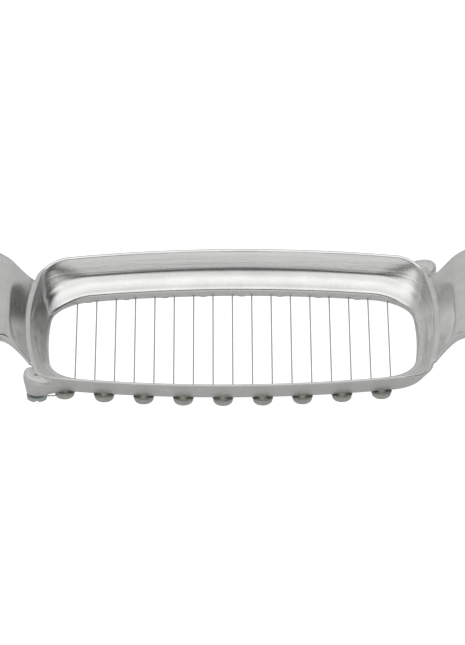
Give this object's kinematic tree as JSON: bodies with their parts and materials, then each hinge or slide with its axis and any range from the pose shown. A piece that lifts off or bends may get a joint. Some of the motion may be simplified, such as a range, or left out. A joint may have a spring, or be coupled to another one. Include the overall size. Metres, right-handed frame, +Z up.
{
  "type": "egg slicer",
  "caption": "Hand-held wire egg slicer: a cast oval dish with two wing handles, crossed by one wire laced over grooved pins.",
  "frame": {"origin": "on the surface that the slicer stands on, below the middle of its outer box", "axes": "+X along the length from one wing handle to the other, +Z up out of the open dish"},
  "size_m": [0.19, 0.0772, 0.0232],
  "materials": {
    "cast_aluminium": "tumbled and buffed casting",
    "pin_steel": "turned, plated, dull",
    "wire_steel": "drawn stainless wire",
    "screw_steel": "zinc plated"
  },
  "bodies": {
    "body": {"frame": "cast_aluminium", "wire_strands": "wire_steel", "wire_bends": "wire_steel", "near_pin_1": "pin_steel", "near_pin_2": "pin_steel", "near_pin_3": "pin_steel", "near_pin_4": "pin_steel", "near_pin_5": "pin_steel", "near_pin_6": "pin_steel", "near_pin_7": "pin_steel", "near_pin_8": "pin_steel", "near_pin_9": "pin_steel", "far_pin_1": "pin_steel", "far_pin_2": "pin_steel", "far_pin_3": "pin_steel", "far_pin_4": "pin_steel", "far_pin_5": "pin_steel", "far_pin_6": "pin_steel", "far_pin_7": "pin_steel", "far_pin_8": "pin_steel", "far_pin_9": "pin_steel"},
    "left_washer": {"left_clamp_washer": "screw_steel"},
    "left_screw": {"left_clamp_screw": "screw_steel"},
    "right_washer": {"right_clamp_washer": "screw_steel"},
    "right_screw": {"right_clamp_screw": "screw_steel"}
  },
  "joints": [
    {"name": "left_screw_travel", "type": "slide", "parent": "body", "child": "left_washer", "axis": [0, 0, -1], "range_m": [0, 0.0015]},
    {"name": "left_screw_turn", "type": "hinge", "parent": "left_washer", "child": "left_screw", "pos_m": [-0.0495, -0.0276, 0.0015], "axis": [0, 0, -1], "range_deg": [0, 1080]},
    {"name": "right_screw_travel", "type": "slide", "parent": "body", "child": "right_washer", "axis": [0, 0, -1], "range_m": [0, 0.0015]},
    {"name": "right_screw_turn", "type": "hinge", "parent": "right_washer", "child": "right_screw", "pos_m": [0.0495, 0.0276, 0.0015], "axis": [0, 0, -1], "range_deg": [0, 1080]}
  ],
  "couplings": [
    {"joint": "left_screw_turn", "follows": "left_screw_travel", "rad_per_m": 12566},
    {"joint": "right_screw_turn", "follows": "right_screw_travel", "rad_per_m": 12566}
  ]
}
